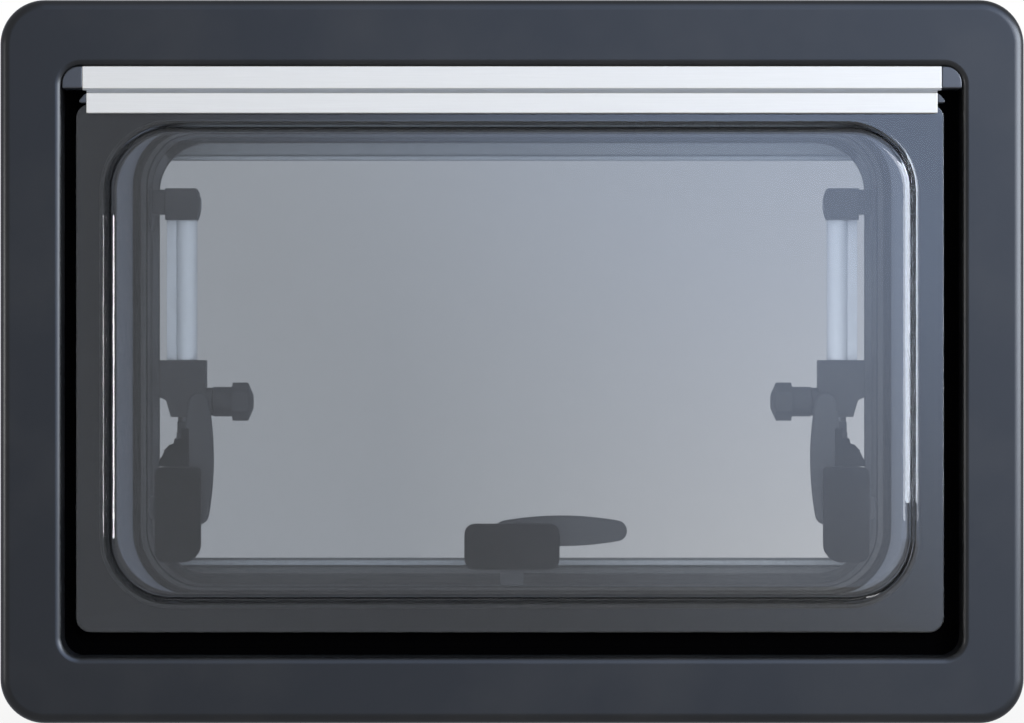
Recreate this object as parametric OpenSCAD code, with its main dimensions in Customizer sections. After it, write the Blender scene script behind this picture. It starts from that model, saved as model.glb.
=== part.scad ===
// Top-hung acrylic window of a touring caravan, seen from outside.
// X is to the right, Y goes into the wall, Z is up; the origin lies on the back
// of the bottom flange, where the frame rests on the wall's outer skin.

/* [Wall] */
// Width of the hole in the wall
cutout_w = 600; // [560:1:900]
// Height of the hole in the wall
cutout_h = 400; // [380:1:600]
// Thickness of the wall
wall_t = 34; // [30:1:40]

/* [Outer frame] */
// Width of the frame band past the hole
band_w = 40; // [34:1:50]
// How far the frame stands out of the wall
frame_t = 24; // [22:1:28]
// Radius of the frame's outer corners in front view
outer_r = 30; // [20:1:40]
// Rounding of the frame's outer edge
edge_round = 7; // [3:0.5:9]
// Rounding of the frame's inner edge
inner_round = 8; // [3:0.5:9]
// Radius of the front opening's corners
opening_r = 13; // [8:1:20]
// Width of the inward lip at the sides
lip_side = 53; // [45:1:60]
// Width of the inward lip at the top
lip_top = 40.9; // [38:0.1:50]
// Width of the inward lip at the bottom
lip_bottom = 45.3; // [40:0.1:55]
// Radius of the lip's corners
lip_r = 39; // [25:1:50]

/* [Inner frame] */
// How far the inner frame covers the wall inside
trim_w = 22; // [15:1:30]
// Radius of the inner frame's outer corners
trim_r = 34; // [20:1:45]
// Width of the inner frame's rear lip
rear_lip = 4.7; // [3:0.1:8]
// Height of the two blind bars in the opening
bar_h = 12; // [8:0.5:20]

/* [Sash] */
// Gap between the sash and the frame at the sides
sash_gap = 8; // [6:0.5:12]
// Gap between the sash and the frame at the bottom
sash_gap_bottom = 15.9; // [10:0.1:20]
// Thickness of each acrylic pane
pane_t = 3; // [2:0.5:4]
// How far the raised field stands out from the pane's edge
bubble_h = 13; // [11:1:16]
// Width of the flat edge beside the raised field
edge_w = 16.6; // [14:0.1:25]
// Width of the flat edge under the raised field
edge_w_bottom = 16.9; // [14:0.1:25]
// Corner radius of the raised field at its foot
bubble_r = 47; // [35:1:60]

/* [Hinge rails] */
// Height of the upper rail
rail_up_h = 14.7; // [12:0.1:20]
// Height of the lower rail
rail_low_h = 13.4; // [11:0.1:18]
// Length of each end cap
cap_w = 11.7; // [8:0.1:16]

/* [Stays] */
// Distance of each stay from the edge of the frame's lip
stay_inset = 24.7; // [24:0.1:40]
// Depth of the stays behind the wall's outer skin
stay_y = 24; // [22:1:27]
// Distance of the upper pivots under the top of the lip
pivot_drop = 49.6; // [45:0.1:60]
// Distance of the lower pivots over the bottom of the lip
pivot_rise = 86.2; // [80:0.1:95]
// Outer diameter of the stay tube
tube_d = 14.4; // [12:0.1:16]
// Diameter of the stay rod
rod_d = 11.8; // [9:0.1:12]
// Diameter of the clamp knob
knob_d = 26; // [20:0.5:28]
// Length of the clamp knob
knob_l = 27; // [20:0.5:30]
// Height of the clamp block
clamp_h = 38.5; // [30:0.1:45]
// Thickness of the clamp block
clamp_t = 16; // [15:0.5:20]
// Height of the head on the tube
head_h = 21.4; // [18:0.1:26]
// Thickness of the head on the tube
head_t = 20; // [16:0.5:22]
// Height of the rod end over the lower pivot
end_h = 25; // [20:0.5:30]

/* [Latches] */
// Distance of the side latch pivots from the edge of the lip
latch_inset = 23.5; // [23:0.1:30]
// Distance of the side latch pivots over the bottom of the lip
latch_rise = 53.7; // [50:0.1:56]
// Distance of the middle latch pivot over the bottom of the lip
latch_mid_rise = 27.7; // [25:0.1:30]
// Length of a latch lever
lever_l = 89; // [70:1:100]
// Width of a latch lever
lever_w = 20.6; // [16:0.1:24]
// Length of a latch base
pad_l = 64; // [50:1:70]
// Width of a latch base
pad_w = 30.8; // [24:0.1:34]

/* [Hidden] */
$fn = 96;
mid_z = cutout_h / 2 + band_w / 2;
open_hw = cutout_w / 2 - 1;
open_hh = cutout_h / 2 - 2.5;
out_hw = cutout_w / 2 + band_w;
out_hh = cutout_h / 2 + band_w;
lip_hw = open_hw - lip_side;
lip_up = open_hh - lip_top;
lip_low = -open_hh + lip_bottom;
shelf_h = 3;
lip_face = 1;
lip_back = -5;
rear_face = -wall_t - 4;
rear_back = rear_face - 5;
room_face = rear_back - 11;
clear_hw = lip_hw - rear_lip;
clear_up = lip_up - 7.1;
clear_low = lip_low + 7;
clear_r = 33.5;
trim_hw = cutout_w / 2 + trim_w;
trim_hh = cutout_h / 2 + trim_w;
sash_hw = open_hw - sash_gap;
sash_low = -open_hh + sash_gap_bottom;
rail_up_top = open_hh - 0.3;
rail_up_low = rail_up_top - rail_up_h;
rail_low_top = rail_up_low - 2.9;
rail_low_low = rail_low_top - rail_low_h;
hinge_z = rail_up_low - 1.5;
hinge_h = 19;
pane_top = rail_low_top - 6.6;
inner_back = 7;
inner_face = inner_back + pane_t;
outer_back = inner_face + 1;
outer_face = outer_back + pane_t;
foot_hw = sash_hw - edge_w;
foot_low = sash_low + edge_w_bottom;
foot_up = rail_low_low - 4.9;
bubble_top = outer_face + bubble_h;
side_run = 14.6;
cap_in = open_hw - 0.3 - cap_w;
rail_up_face = 22.5;
rail_low_face = 21;
rail_low_back = 4.5;
rail_wall = 1.8;
bead_r = 1.3;
socket_r = 1.7;
rail_low_hw = cap_in - 2.5;
stay_x = lip_hw - stay_inset;
pivot_up = lip_up - pivot_drop;
pivot_low = -lip_low - pivot_rise;
latch_x = lip_hw - latch_inset;
latch_z = -lip_low - latch_rise;
latch_mid_z = -lip_low - latch_mid_rise;
pad_t = inner_back - lip_face;
pivot_pin_r = 3;
pin_gap = 0.3;
lever_back = -6;
lever_face = -1.5;
bore_d = rod_d + 2 * pin_gap;
rod_show = 3.4;
end_top = -pivot_low + end_h;
clamp_low = end_top + rod_show;
tube_low = clamp_low + clamp_h;
head_low = pivot_up - head_h / 2 - 0.3;
head_in = 9.2;
head_out = 13.7;
fin_w = 13.2;
fin_t = 8;
clamp_in = 13.3;
knob_z = tube_low - 28.2;
foot_out = 14.7;
foot_in = 2.2;
foot_r = 6.5;

// Shared placing: plans are drawn face on, X right, Y up, Z out of the wall.
module face_on() {
    translate([0, 0, mid_z])
        rotate([90, 0, 0])
            children();
}

module mirrored(side) {
    if (side < 0) {
        mirror([1, 0, 0])
            children();
    }
    else {
        children();
    }
}

// Flat plan shapes
module round_rect(hw, low, up, r) {
    translate([-hw + r, low])
        square([2 * hw - 2 * r, up - low]);
    translate([-hw, low + r])
        square([2 * hw, up - low - 2 * r]);
    for (x = [-hw + r, hw - r]) {
        for (y = [low + r, up - r]) {
            translate([x, y])
                circle(r = r);
        }
    }
}

module plate(h0, h1) {
    translate([0, 0, h0])
        linear_extrude(h1 - h0)
            children();
}

// A profile swept round a rounded rectangle; its X is the way outward.
module ring(hw, low, up, r) {
    tall = up - low - 2 * r;
    wide = 2 * hw - 2 * r;
    translate([hw, up - r, 0])
        rotate([90, 0, 0])
            linear_extrude(tall)
                children();
    translate([-hw + r, up, 0])
        rotate([0, 0, 90])
            rotate([90, 0, 0])
                linear_extrude(wide)
                    children();
    translate([-hw, low + r, 0])
        rotate([0, 0, 180])
            rotate([90, 0, 0])
                linear_extrude(tall)
                    children();
    translate([hw - r, low, 0])
        rotate([0, 0, 270])
            rotate([90, 0, 0])
                linear_extrude(wide)
                    children();
    translate([hw - r, up - r, 0])
        rotate_extrude(angle = 90)
            translate([r, 0])
                children();
    translate([-hw + r, up - r, 0])
        rotate([0, 0, 90])
            rotate_extrude(angle = 90)
                translate([r, 0])
                    children();
    translate([-hw + r, low + r, 0])
        rotate([0, 0, 180])
            rotate_extrude(angle = 90)
                translate([r, 0])
                    children();
    translate([hw - r, low + r, 0])
        rotate([0, 0, 270])
            rotate_extrude(angle = 90)
                translate([r, 0])
                    children();
}

// Outer frame
module outer_edge_profile() {
    r = edge_round;
    translate([-12, 0])
        square([12, frame_t - r]);
    translate([-12, 0])
        square([12 - r, frame_t]);
    translate([-r, frame_t - r])
        circle(r = r);
}

module opening_edge_profile() {
    r = inner_round;
    square([12, frame_t - r]);
    translate([r, 0])
        square([12 - r, frame_t]);
    translate([r, frame_t - r])
        circle(r = r);
}

module outer_frame() {
    color([0.24, 0.25, 0.27])
        face_on() {
            ring(out_hw, -out_hh, out_hh, outer_r)
                outer_edge_profile();
            ring(open_hw, -open_hh, open_hh, opening_r)
                opening_edge_profile();
            plate(0, frame_t) {
                difference() {
                    round_rect(out_hw - 10, -out_hh + 10, out_hh - 10, outer_r - 10);
                    round_rect(open_hw + 10, -open_hh - 10, open_hh + 10, opening_r + 10);
                }
            }
            plate(0, shelf_h) {
                difference() {
                    round_rect(open_hw + 4, -open_hh - 4, open_hh + 4, opening_r + 4);
                    round_rect(open_hw - 5, -open_hh + 5, open_hh - 5, opening_r);
                }
            }
            plate(lip_back, lip_face) {
                difference() {
                    round_rect(open_hw - 1, -open_hh + 0.5, open_hh - 0.5, opening_r);
                    round_rect(lip_hw, lip_low, lip_up, lip_r);
                }
            }
            plate(-wall_t + 8, lip_back + 1) {
                difference() {
                    round_rect(open_hw - 1, -open_hh + 0.5, open_hh - 0.5, opening_r);
                    round_rect(open_hw - 5, -open_hh + 5, open_hh - 5, opening_r);
                }
            }
        }
}

// Inner frame and its two blind bars
module trim_edge_profile() {
    translate([-10, room_face + 4])
        square([10, -wall_t - room_face - 4]);
    translate([-10, room_face])
        square([6, 5]);
    translate([-4, room_face + 4])
        circle(r = 4);
}

module inner_frame() {
    color([0.16, 0.165, 0.175])
        face_on() {
            plate(rear_face - 1, lip_back) {
                difference() {
                    round_rect(lip_hw + 4, lip_low - 4, lip_up + 4, lip_r + 4);
                    round_rect(lip_hw, lip_low, lip_up, lip_r);
                }
            }
            plate(rear_back, rear_face) {
                difference() {
                    round_rect(trim_hw - 6, -trim_hh + 6, trim_hh - 6, trim_r - 6);
                    round_rect(clear_hw, clear_low, clear_up, clear_r);
                }
            }
            plate(room_face + 3, rear_back) {
                difference() {
                    round_rect(trim_hw - 6, -trim_hh + 6, trim_hh - 6, trim_r - 6);
                    round_rect(lip_hw + 4, lip_low - 4, lip_up + 4, lip_r + 4);
                }
            }
            plate(room_face, room_face + 4) {
                difference() {
                    round_rect(trim_hw - 6, -trim_hh + 6, trim_hh - 6, trim_r - 6);
                    round_rect(clear_hw + 3, clear_low - 3, clear_up + 3, clear_r + 3);
                }
            }
            ring(trim_hw, -trim_hh, trim_hh, trim_r)
                trim_edge_profile();
        }
}

module blind_bar(low, up) {
    plate(room_face + 4.3, rear_back) {
        intersection() {
            round_rect(lip_hw + 3.7, lip_low - 3.7, lip_up + 3.7, lip_r + 3.7);
            translate([-lip_hw - 10, low])
                square([2 * lip_hw + 20, up - low]);
        }
    }
}

module screen_bar_top() {
    color([0.5, 0.51, 0.53])
        face_on()
            blind_bar(clear_up - bar_h, clear_up + 9);
}

module blind_bar_bottom() {
    color([0.5, 0.51, 0.53])
        face_on()
            blind_bar(clear_low - 9, clear_low + bar_h - 1.3);
}

// Rubber seal between the frame's lip and the sash
module frame_seal() {
    color([0.06, 0.06, 0.06])
        face_on()
            ring(lip_hw + 4, lip_low - 2.8, lip_up + 2.4, lip_r + 3) {
                translate([0, lip_face])
                    square([5, 2.5]);
                translate([2.5, 4.1])
                    circle(r = 2.5);
            }
}

// Fixed hinge rail with its socket, and the end caps
module hinge_rail_upper() {
    deep = rail_up_face - shelf_h;
    color([0.88, 0.9, 0.91])
        translate([-cap_in, 0, mid_z])
            rotate([90, 0, 90])
                linear_extrude(2 * cap_in) {
                    difference() {
                        union() {
                            translate([-rail_up_face, rail_up_low])
                                square([deep, rail_up_h]);
                            translate([-hinge_h - bead_r * 2, hinge_z + 0.3])
                                square([bead_r * 4, rail_up_low - hinge_z + 0.7]);
                        }
                        translate([-rail_up_face + rail_wall, rail_up_low + rail_wall + 0.4])
                            square([deep - 2 * rail_wall, rail_up_h - 2 * rail_wall - 0.4]);
                        translate([-hinge_h, hinge_z])
                            circle(r = socket_r);
                    }
                }
}

module end_cap_shape() {
    face_on()
        plate(shelf_h, rail_up_face - 0.2) {
            intersection() {
                round_rect(open_hw - 0.3, 0, rail_up_top, opening_r - 0.3);
                translate([cap_in, rail_up_low + 0.1])
                    square([cap_w, rail_up_h]);
            }
        }
}

module end_cap_left() {
    color([0.3, 0.3, 0.32])
        mirrored(-1)
            end_cap_shape();
}

module end_cap_right() {
    color([0.3, 0.3, 0.32])
        end_cap_shape();
}

// Stay brackets on the inner frame, each with its pivot pin
module stay_bracket(side) {
    base_t = 2.1;
    ear_x = stay_x + head_out + 0.4;
    color([0.16, 0.16, 0.17])
        translate([0, 0, mid_z])
            mirrored(side)
                difference() {
                    union() {
                        translate([lip_hw - base_t, stay_y - 12, pivot_up - 18])
                            cube([base_t, 24, 28]);
                        translate([ear_x, stay_y - 8.5, pivot_up - 7])
                            cube([lip_hw - ear_x - base_t / 2, 17, 16.5]);
                    }
                    translate([stay_x, stay_y, pivot_up])
                        rotate([0, 90, 0])
                            cylinder(r = pivot_pin_r, h = lip_hw - stay_x + 1);
                }
}

module stay_bracket_left() {
    stay_bracket(-1);
}

module stay_bracket_right() {
    stay_bracket(1);
}

module bracket_pin(side) {
    start = stay_x - head_in + 1.4;
    color([0.6, 0.61, 0.62])
        translate([0, 0, mid_z])
            mirrored(side)
                translate([start, stay_y, pivot_up])
                    rotate([0, 90, 0]) {
                        cylinder(r = pivot_pin_r, h = lip_hw - start);
                        translate([0, 0, -2])
                            cylinder(r = 1.5 * pivot_pin_r, h = 2);
                    }
}

module bracket_pin_left() {
    bracket_pin(-1);
}

module bracket_pin_right() {
    bracket_pin(1);
}

// Sash: two acrylic panes joined at the edge
module sash_plan() {
    round_rect(sash_hw, sash_low, pane_top, 10);
}

module bubble_wall_profile() {
    polygon([
        [2, outer_back],
        [2, outer_face],
        [0, outer_face],
        [-2.3, outer_face + 0.8],
        [-3.7, outer_face + 2.6],
        [2.9 - 0.56 * side_run, bubble_top - 6.4],
        [2.9 - 0.71 * side_run, bubble_top - 2.9],
        [2.9 - 0.96 * side_run, bubble_top - 0.6],
        [-side_run, bubble_top],
        [-side_run - 4, bubble_top],
        [-side_run - 4, bubble_top - pane_t],
        [-side_run, bubble_top - pane_t],
        [2.4 - side_run, bubble_top - 3.4],
        [5 - side_run, bubble_top - 5],
        [6.5 - side_run, bubble_top - 7.5],
        [-6.5, outer_face + 1.5],
        [-4, outer_face - 1.7],
        [-1, outer_back]
    ]);
}

module outer_pane() {
    color([0.6, 0.63, 0.67, 0.5])
        face_on() {
            plate(outer_back, outer_face) {
                difference() {
                    sash_plan();
                    round_rect(foot_hw + 1, foot_low - 1, foot_up + 1, bubble_r + 1);
                }
            }
            ring(foot_hw, foot_low, foot_up, bubble_r)
                bubble_wall_profile();
            plate(bubble_top - pane_t, bubble_top)
                round_rect(foot_hw - side_run - 3, foot_low + side_run + 3,
                    foot_up - side_run - 3, bubble_r - side_run - 3);
        }
}

module inner_pane() {
    color([0.6, 0.63, 0.67, 0.5])
        face_on()
            plate(inner_back, inner_face)
                sash_plan();
}

module edge_bond() {
    color([0.1, 0.1, 0.11])
        face_on()
            plate(inner_face, outer_back) {
                difference() {
                    round_rect(sash_hw - 1, sash_low + 1, pane_top - 1, 9);
                    round_rect(foot_hw + 1, foot_low - 1, foot_up + 1, bubble_r + 1);
                }
            }
}

// Moving hinge rail with its bead
module hinge_rail_lower() {
    cut = 1.3;
    neck = 0.5;
    color([0.88, 0.9, 0.91])
        translate([-rail_low_hw, 0, mid_z]) {
            rotate([90, 0, 90])
                linear_extrude(2 * rail_low_hw)
                    polygon([
                        [-rail_low_face, rail_low_low],
                        [-rail_low_face, rail_low_top - cut],
                        [-rail_low_face + cut, rail_low_top],
                        [-hinge_h - neck, rail_low_top],
                        [-hinge_h - neck, hinge_z - 0.3],
                        [-hinge_h + neck, hinge_z - 0.3],
                        [-hinge_h + neck, rail_low_top],
                        [-rail_low_back, rail_low_top],
                        [-rail_low_back, pane_top - 1],
                        [-inner_back, pane_top - 1],
                        [-inner_back, pane_top],
                        [-outer_face, pane_top],
                        [-outer_face, rail_low_low]
                    ]);
            translate([0, -hinge_h, hinge_z])
                rotate([0, 90, 0])
                    cylinder(r = bead_r, h = 2 * rail_low_hw);
        }
}

module rail_end(side) {
    color([0.3, 0.3, 0.32])
        translate([0, 0, mid_z])
            mirrored(side)
                translate([rail_low_hw, -outer_face, pane_top])
                    rotate([90, 0, 0])
                        linear_extrude(rail_low_face - 0.5 - outer_face)
                            polygon([
                                [0, 0],
                                [4.6, 0],
                                [5, 1.6],
                                [1.4, 5.8],
                                [0, 6]
                            ]);
}

module rail_end_left() {
    rail_end(-1);
}

module rail_end_right() {
    rail_end(1);
}

// Latch bases on the inner pane, each with its pivot pin
module latch_pin() {
    plate(lever_back, lip_face + 0.5)
        circle(r = pivot_pin_r);
}

module latch_base(side) {
    color([0.15, 0.15, 0.16])
        face_on()
            mirrored(side) {
                plate(lip_face, inner_back)
                    translate([latch_x + 2.2, -latch_z - 4.5])
                        round_rect(pad_w / 2, -pad_l / 2, pad_l / 2, 6);
                translate([latch_x, -latch_z, 0])
                    latch_pin();
            }
}

module latch_base_left() {
    latch_base(-1);
}

module latch_base_right() {
    latch_base(1);
}

module latch_base_centre() {
    color([0.15, 0.15, 0.16])
        face_on() {
            plate(lip_face, inner_back)
                translate([0, -latch_mid_z])
                    round_rect(pad_l / 2, -pad_w / 2, pad_w / 2, 6);
            translate([0, -latch_mid_z, 0])
                latch_pin();
        }
}

// Lever plan: pivot at the origin, length up, a slim lens with round tips to the left
module lever_plan(side_off) {
    tip = 0.34 * lever_w;
    half = lever_l / 2 - tip;
    slim = lever_w / 2 - tip;
    big = (half * half + slim * slim) / (2 * slim);
    difference() {
        union() {
            translate([-side_off - lever_w / 2, lever_l / 2 - 11.5]) {
                intersection() {
                    translate([big - slim, 0])
                        circle(r = big + tip, $fn = 360);
                    translate([slim - big, 0])
                        circle(r = big + tip, $fn = 360);
                    square([lever_w + 2, 2 * half * (big + tip) / big], center = true);
                }
                for (side = [-1, 1]) {
                    translate([0, side * half])
                        circle(r = tip);
                }
            }
            translate([-side_off - 8, -10])
                square([side_off + 8, 20]);
            circle(r = 10);
        }
        circle(r = pivot_pin_r + pin_gap);
    }
}

module latch_lever(side) {
    color([0.12, 0.12, 0.13])
        face_on()
            mirrored(side)
                plate(lever_back, lever_face)
                    translate([latch_x, -latch_z])
                        lever_plan(0.8);
}

module latch_lever_left() {
    latch_lever(-1);
}

module latch_lever_right() {
    latch_lever(1);
}

module latch_lever_centre() {
    color([0.12, 0.12, 0.13])
        face_on()
            plate(lever_back, lever_face)
                translate([0, -latch_mid_z])
                    rotate([0, 0, -90])
                        lever_plan(0);
}

// Tongue plan: pivot at the origin, tongue to the right
module tongue_plan(reach, half) {
    difference() {
        union() {
            circle(r = 9.5);
            intersection() {
                translate([0, -half])
                    square([reach, 2 * half]);
                circle(r = reach);
            }
        }
        circle(r = pivot_pin_r + pin_gap);
    }
}

module latch_tongue(side) {
    color([0.2, 0.2, 0.21])
        face_on()
            mirrored(side)
                plate(lever_face + 0.2, lip_face - 0.3)
                    translate([latch_x, -latch_z])
                        tongue_plan(lip_hw - 1 - latch_x, 7.5);
}

module latch_tongue_left() {
    latch_tongue(-1);
}

module latch_tongue_right() {
    latch_tongue(1);
}

module latch_tongue_centre() {
    color([0.2, 0.2, 0.21])
        face_on()
            plate(lever_face + 0.2, lip_face - 0.3)
                translate([0, -latch_mid_z])
                    rotate([0, 0, -90])
                        tongue_plan(-lip_low - 1 - latch_mid_z, 8);
}

// Stay feet on the inner pane
module stay_foot(side) {
    plan_in = foot_out - 9.2;
    color([0.15, 0.15, 0.16])
        translate([0, 0, mid_z])
            mirrored(side)
                union() {
                    translate([stay_x, 3 - inner_back, -pivot_low])
                        rotate([90, 0, 0])
                            linear_extrude(3)
                                polygon([
                                    [plan_in - 5, -4.5],
                                    [plan_in + 10.5, -4.5],
                                    [plan_in + 10.5, -1],
                                    [plan_in + 8.4, 2.5],
                                    [plan_in + 6.2, 7],
                                    [plan_in + 3.4, 10.2],
                                    [plan_in + 0.5, 10.8],
                                    [plan_in, 14.5],
                                    [plan_in - 5, 14.5]
                                ]);
                    translate([stay_x + foot_out - 8.7, 2 - inner_back, -pivot_low - 4.5])
                        cube([6.5, inner_back - 2 + stay_y - 6, 8]);
                    translate([stay_x + foot_in, stay_y - 8, -pivot_low - foot_r])
                        cube([foot_out - foot_in, 8, 2 * foot_r]);
                    translate([stay_x + foot_in, stay_y, -pivot_low])
                        rotate([0, 90, 0])
                            cylinder(r = foot_r, h = foot_out - foot_in);
                }
}

module stay_foot_left() {
    stay_foot(-1);
}

module stay_foot_right() {
    stay_foot(1);
}

// Telescopic stays: head, tube with its fin, clamp, knob, rod and rod end
module stay_head(side) {
    bulge_r = 26;
    color([0.13, 0.13, 0.14])
        translate([0, 0, mid_z])
            mirrored(side)
                difference() {
                    translate([stay_x, stay_y + head_t / 2, head_low])
                        rotate([90, 0, 0])
                            linear_extrude(head_t) {
                                intersection() {
                                    translate([-head_in, 0])
                                        square([head_in + head_out, head_h]);
                                    translate([bulge_r - head_in, head_h / 2])
                                        circle(r = bulge_r);
                                }
                            }
                    translate([stay_x - head_in - 1, stay_y, pivot_up])
                        rotate([0, 90, 0]) {
                            cylinder(r = pivot_pin_r + pin_gap, h = head_in + head_out + 2);
                            cylinder(r = 1.5 * pivot_pin_r + pin_gap, h = 2.8);
                        }
                }
}

module stay_head_left() {
    stay_head(-1);
}

module stay_head_right() {
    stay_head(1);
}

module stay_tube(side) {
    color([0.72, 0.75, 0.78])
        translate([0, 0, mid_z])
            mirrored(side)
                difference() {
                    union() {
                        translate([stay_x, stay_y, tube_low])
                            cylinder(d = tube_d, h = head_low - tube_low);
                        translate([stay_x + fin_w / 2, stay_y - fin_t / 2, tube_low])
                            cube([fin_w / 2, fin_t, head_low - tube_low]);
                    }
                    translate([stay_x, stay_y, tube_low - 1])
                        cylinder(d = bore_d, h = head_low - tube_low + 2);
                }
}

module stay_tube_left() {
    stay_tube(-1);
}

module stay_tube_right() {
    stay_tube(1);
}

module stay_clamp(side) {
    wide = 18.3;
    boss_r = 9.5;
    color([0.14, 0.14, 0.15])
        translate([0, 0, mid_z])
            mirrored(side)
                difference() {
                    union() {
                        translate([stay_x, stay_y + clamp_t / 2, clamp_low])
                            rotate([90, 0, 0])
                                linear_extrude(clamp_t)
                                    polygon([
                                        [-clamp_in, 0],
                                        [wide - 8.2, 0],
                                        [wide - 5, 11.2],
                                        [wide, 13.7],
                                        [wide, clamp_h],
                                        [-clamp_in, clamp_h]
                                    ]);
                        translate([stay_x - clamp_in - 4.5, stay_y, knob_z])
                            rotate([0, 90, 0])
                                cylinder(r = boss_r, h = 6);
                    }
                    translate([stay_x, stay_y, clamp_low - 1])
                        cylinder(d = bore_d, h = clamp_h + 2);
                }
}

module stay_clamp_left() {
    stay_clamp(-1);
}

module stay_clamp_right() {
    stay_clamp(1);
}

module stay_knob(side) {
    grip = 14;
    tip_r = knob_d * 0.2;
    color([0.11, 0.11, 0.12])
        translate([0, 0, mid_z])
            mirrored(side)
                translate([stay_x - clamp_in - 5 - knob_l, stay_y, knob_z])
                    rotate([0, 90, 0]) {
                        intersection() {
                            cylinder(d = knob_d, h = grip, $fn = 6);
                            cylinder(r1 = tip_r, r2 = tip_r + 2.2 * grip, h = grip);
                        }
                        translate([0, 0, grip - 1])
                            cylinder(d = knob_d - 5.8, h = knob_l - grip + 1);
                    }
}

module stay_knob_left() {
    stay_knob(-1);
}

module stay_knob_right() {
    stay_knob(1);
}

module stay_rod(side) {
    color([0.62, 0.63, 0.64])
        translate([0, 0, mid_z])
            mirrored(side)
                translate([stay_x, stay_y, end_top])
                    cylinder(d = rod_d, h = head_low - 11 - end_top);
}

module stay_rod_left() {
    stay_rod(-1);
}

module stay_rod_right() {
    stay_rod(1);
}

module rod_end(side) {
    in = 6.3;
    eye_w = in + 1.1;
    eye_h = end_h - 11;
    color([0.16, 0.16, 0.17])
        translate([0, 0, mid_z])
            mirrored(side)
                union() {
                    translate([stay_x - in, stay_y - 6.5, -pivot_low + eye_h])
                        cube([2 * in, 13, 4]);
                    translate([stay_x, stay_y, -pivot_low + eye_h + 3])
                        cylinder(r = rod_d / 2 + 0.5, h = end_h - eye_h - 3);
                    translate([stay_x - in, stay_y - 6, -pivot_low])
                        cube([eye_w, 12, eye_h + 1]);
                    translate([stay_x - in, stay_y, -pivot_low])
                        rotate([0, 90, 0])
                            cylinder(r = 6, h = eye_w);
                }
}

module rod_end_left() {
    rod_end(-1);
}

module rod_end_right() {
    rod_end(1);
}

outer_frame();
inner_frame();
frame_seal();
hinge_rail_upper();
end_cap_left();
end_cap_right();
stay_bracket_left();
stay_bracket_right();
bracket_pin_left();
bracket_pin_right();
screen_bar_top();
blind_bar_bottom();
outer_pane();
inner_pane();
edge_bond();
hinge_rail_lower();
rail_end_left();
rail_end_right();
latch_base_left();
latch_base_centre();
latch_base_right();
stay_foot_left();
stay_foot_right();
latch_lever_left();
latch_lever_centre();
latch_lever_right();
latch_tongue_left();
latch_tongue_centre();
latch_tongue_right();
stay_head_left();
stay_head_right();
stay_tube_left();
stay_tube_right();
stay_clamp_left();
stay_clamp_right();
stay_knob_left();
stay_knob_right();
stay_rod_left();
stay_rod_right();
rod_end_left();
rod_end_right();
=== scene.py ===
from math import radians

import bmesh
import bpy
from mathutils import Matrix, Vector


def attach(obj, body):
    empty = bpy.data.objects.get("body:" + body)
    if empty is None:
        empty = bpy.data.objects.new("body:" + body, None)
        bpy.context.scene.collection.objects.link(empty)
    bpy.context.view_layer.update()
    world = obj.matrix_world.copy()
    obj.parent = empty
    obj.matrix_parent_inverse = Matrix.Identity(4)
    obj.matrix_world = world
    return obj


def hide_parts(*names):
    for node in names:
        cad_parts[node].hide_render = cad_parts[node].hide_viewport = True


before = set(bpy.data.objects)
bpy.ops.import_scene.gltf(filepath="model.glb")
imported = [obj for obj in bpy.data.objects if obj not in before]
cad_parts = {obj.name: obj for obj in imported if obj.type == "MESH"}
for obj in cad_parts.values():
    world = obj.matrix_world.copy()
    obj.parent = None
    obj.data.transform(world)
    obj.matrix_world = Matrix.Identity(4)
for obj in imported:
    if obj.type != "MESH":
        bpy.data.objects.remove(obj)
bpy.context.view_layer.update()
print("frame loaded:", len(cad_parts), "pieces")

# Pieces are modelled in millimetres round the window's centre, then placed in the row frame
millimetre = 0.001
midHeight = 220
toRow = Matrix.Scale(millimetre, 4) @ Matrix.Translation((0, 0, midHeight))
sides = {"left": -1, "right": 1}


# Shader nodes and groups that several finishes share

def newGroup(name, inputs, outputs):
    group = bpy.data.node_groups.new(name, "ShaderNodeTree")
    for label, value in inputs:
        socket = group.interface.new_socket(label, in_out="INPUT", socket_type="NodeSocketFloat")
        socket.default_value = value
    for label in outputs:
        group.interface.new_socket(label, in_out="OUTPUT", socket_type="NodeSocketFloat")
    return group, group.nodes.new("NodeGroupInput"), group.nodes.new("NodeGroupOutput")


def placeGroup(nodes, group, values):
    node = nodes.new("ShaderNodeGroup")
    node.node_tree = group
    for label, value in values.items():
        node.inputs[label].default_value = value
    return node


def mathNode(nodes, links, operation, first, second, clamp=False):
    node = nodes.new("ShaderNodeMath")
    node.operation = operation
    node.use_clamp = clamp
    for socket, value in zip(node.inputs, (first, second)):
        if isinstance(value, (int, float)):
            socket.default_value = value
        else:
            links.new(value, socket)
    return node.outputs[0]


def mapRange(nodes, links, value, low, high, fromLow=0.0, fromHigh=1.0, smooth=False):
    node = nodes.new("ShaderNodeMapRange")
    node.interpolation_type = "SMOOTHSTEP" if smooth else "LINEAR"
    links.new(value, node.inputs["Value"])
    node.inputs["From Min"].default_value = fromLow
    node.inputs["From Max"].default_value = fromHigh
    node.inputs["To Min"].default_value = low
    node.inputs["To Max"].default_value = high
    return node.outputs[0]


def mixColours(nodes, links, share, first, second):
    node = nodes.new("ShaderNodeMix")
    node.data_type = "RGBA"
    links.new(share, node.inputs["Factor"])
    for label, value in (("A", first), ("B", second)):
        socket = [s for s in node.inputs if s.name == label and s.type == "RGBA"][0]
        if isinstance(value, tuple):
            socket.default_value = (*value, 1)
        else:
            links.new(value, socket)
    return [s for s in node.outputs if s.type == "RGBA"][0]


def noiseNode(nodes, links, vector, scale, detail):
    noise = nodes.new("ShaderNodeTexNoise")
    noise.inputs["Detail"].default_value = detail
    links.new(vector, noise.inputs["Vector"])
    links.new(scale, noise.inputs["Scale"])
    return noise


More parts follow.
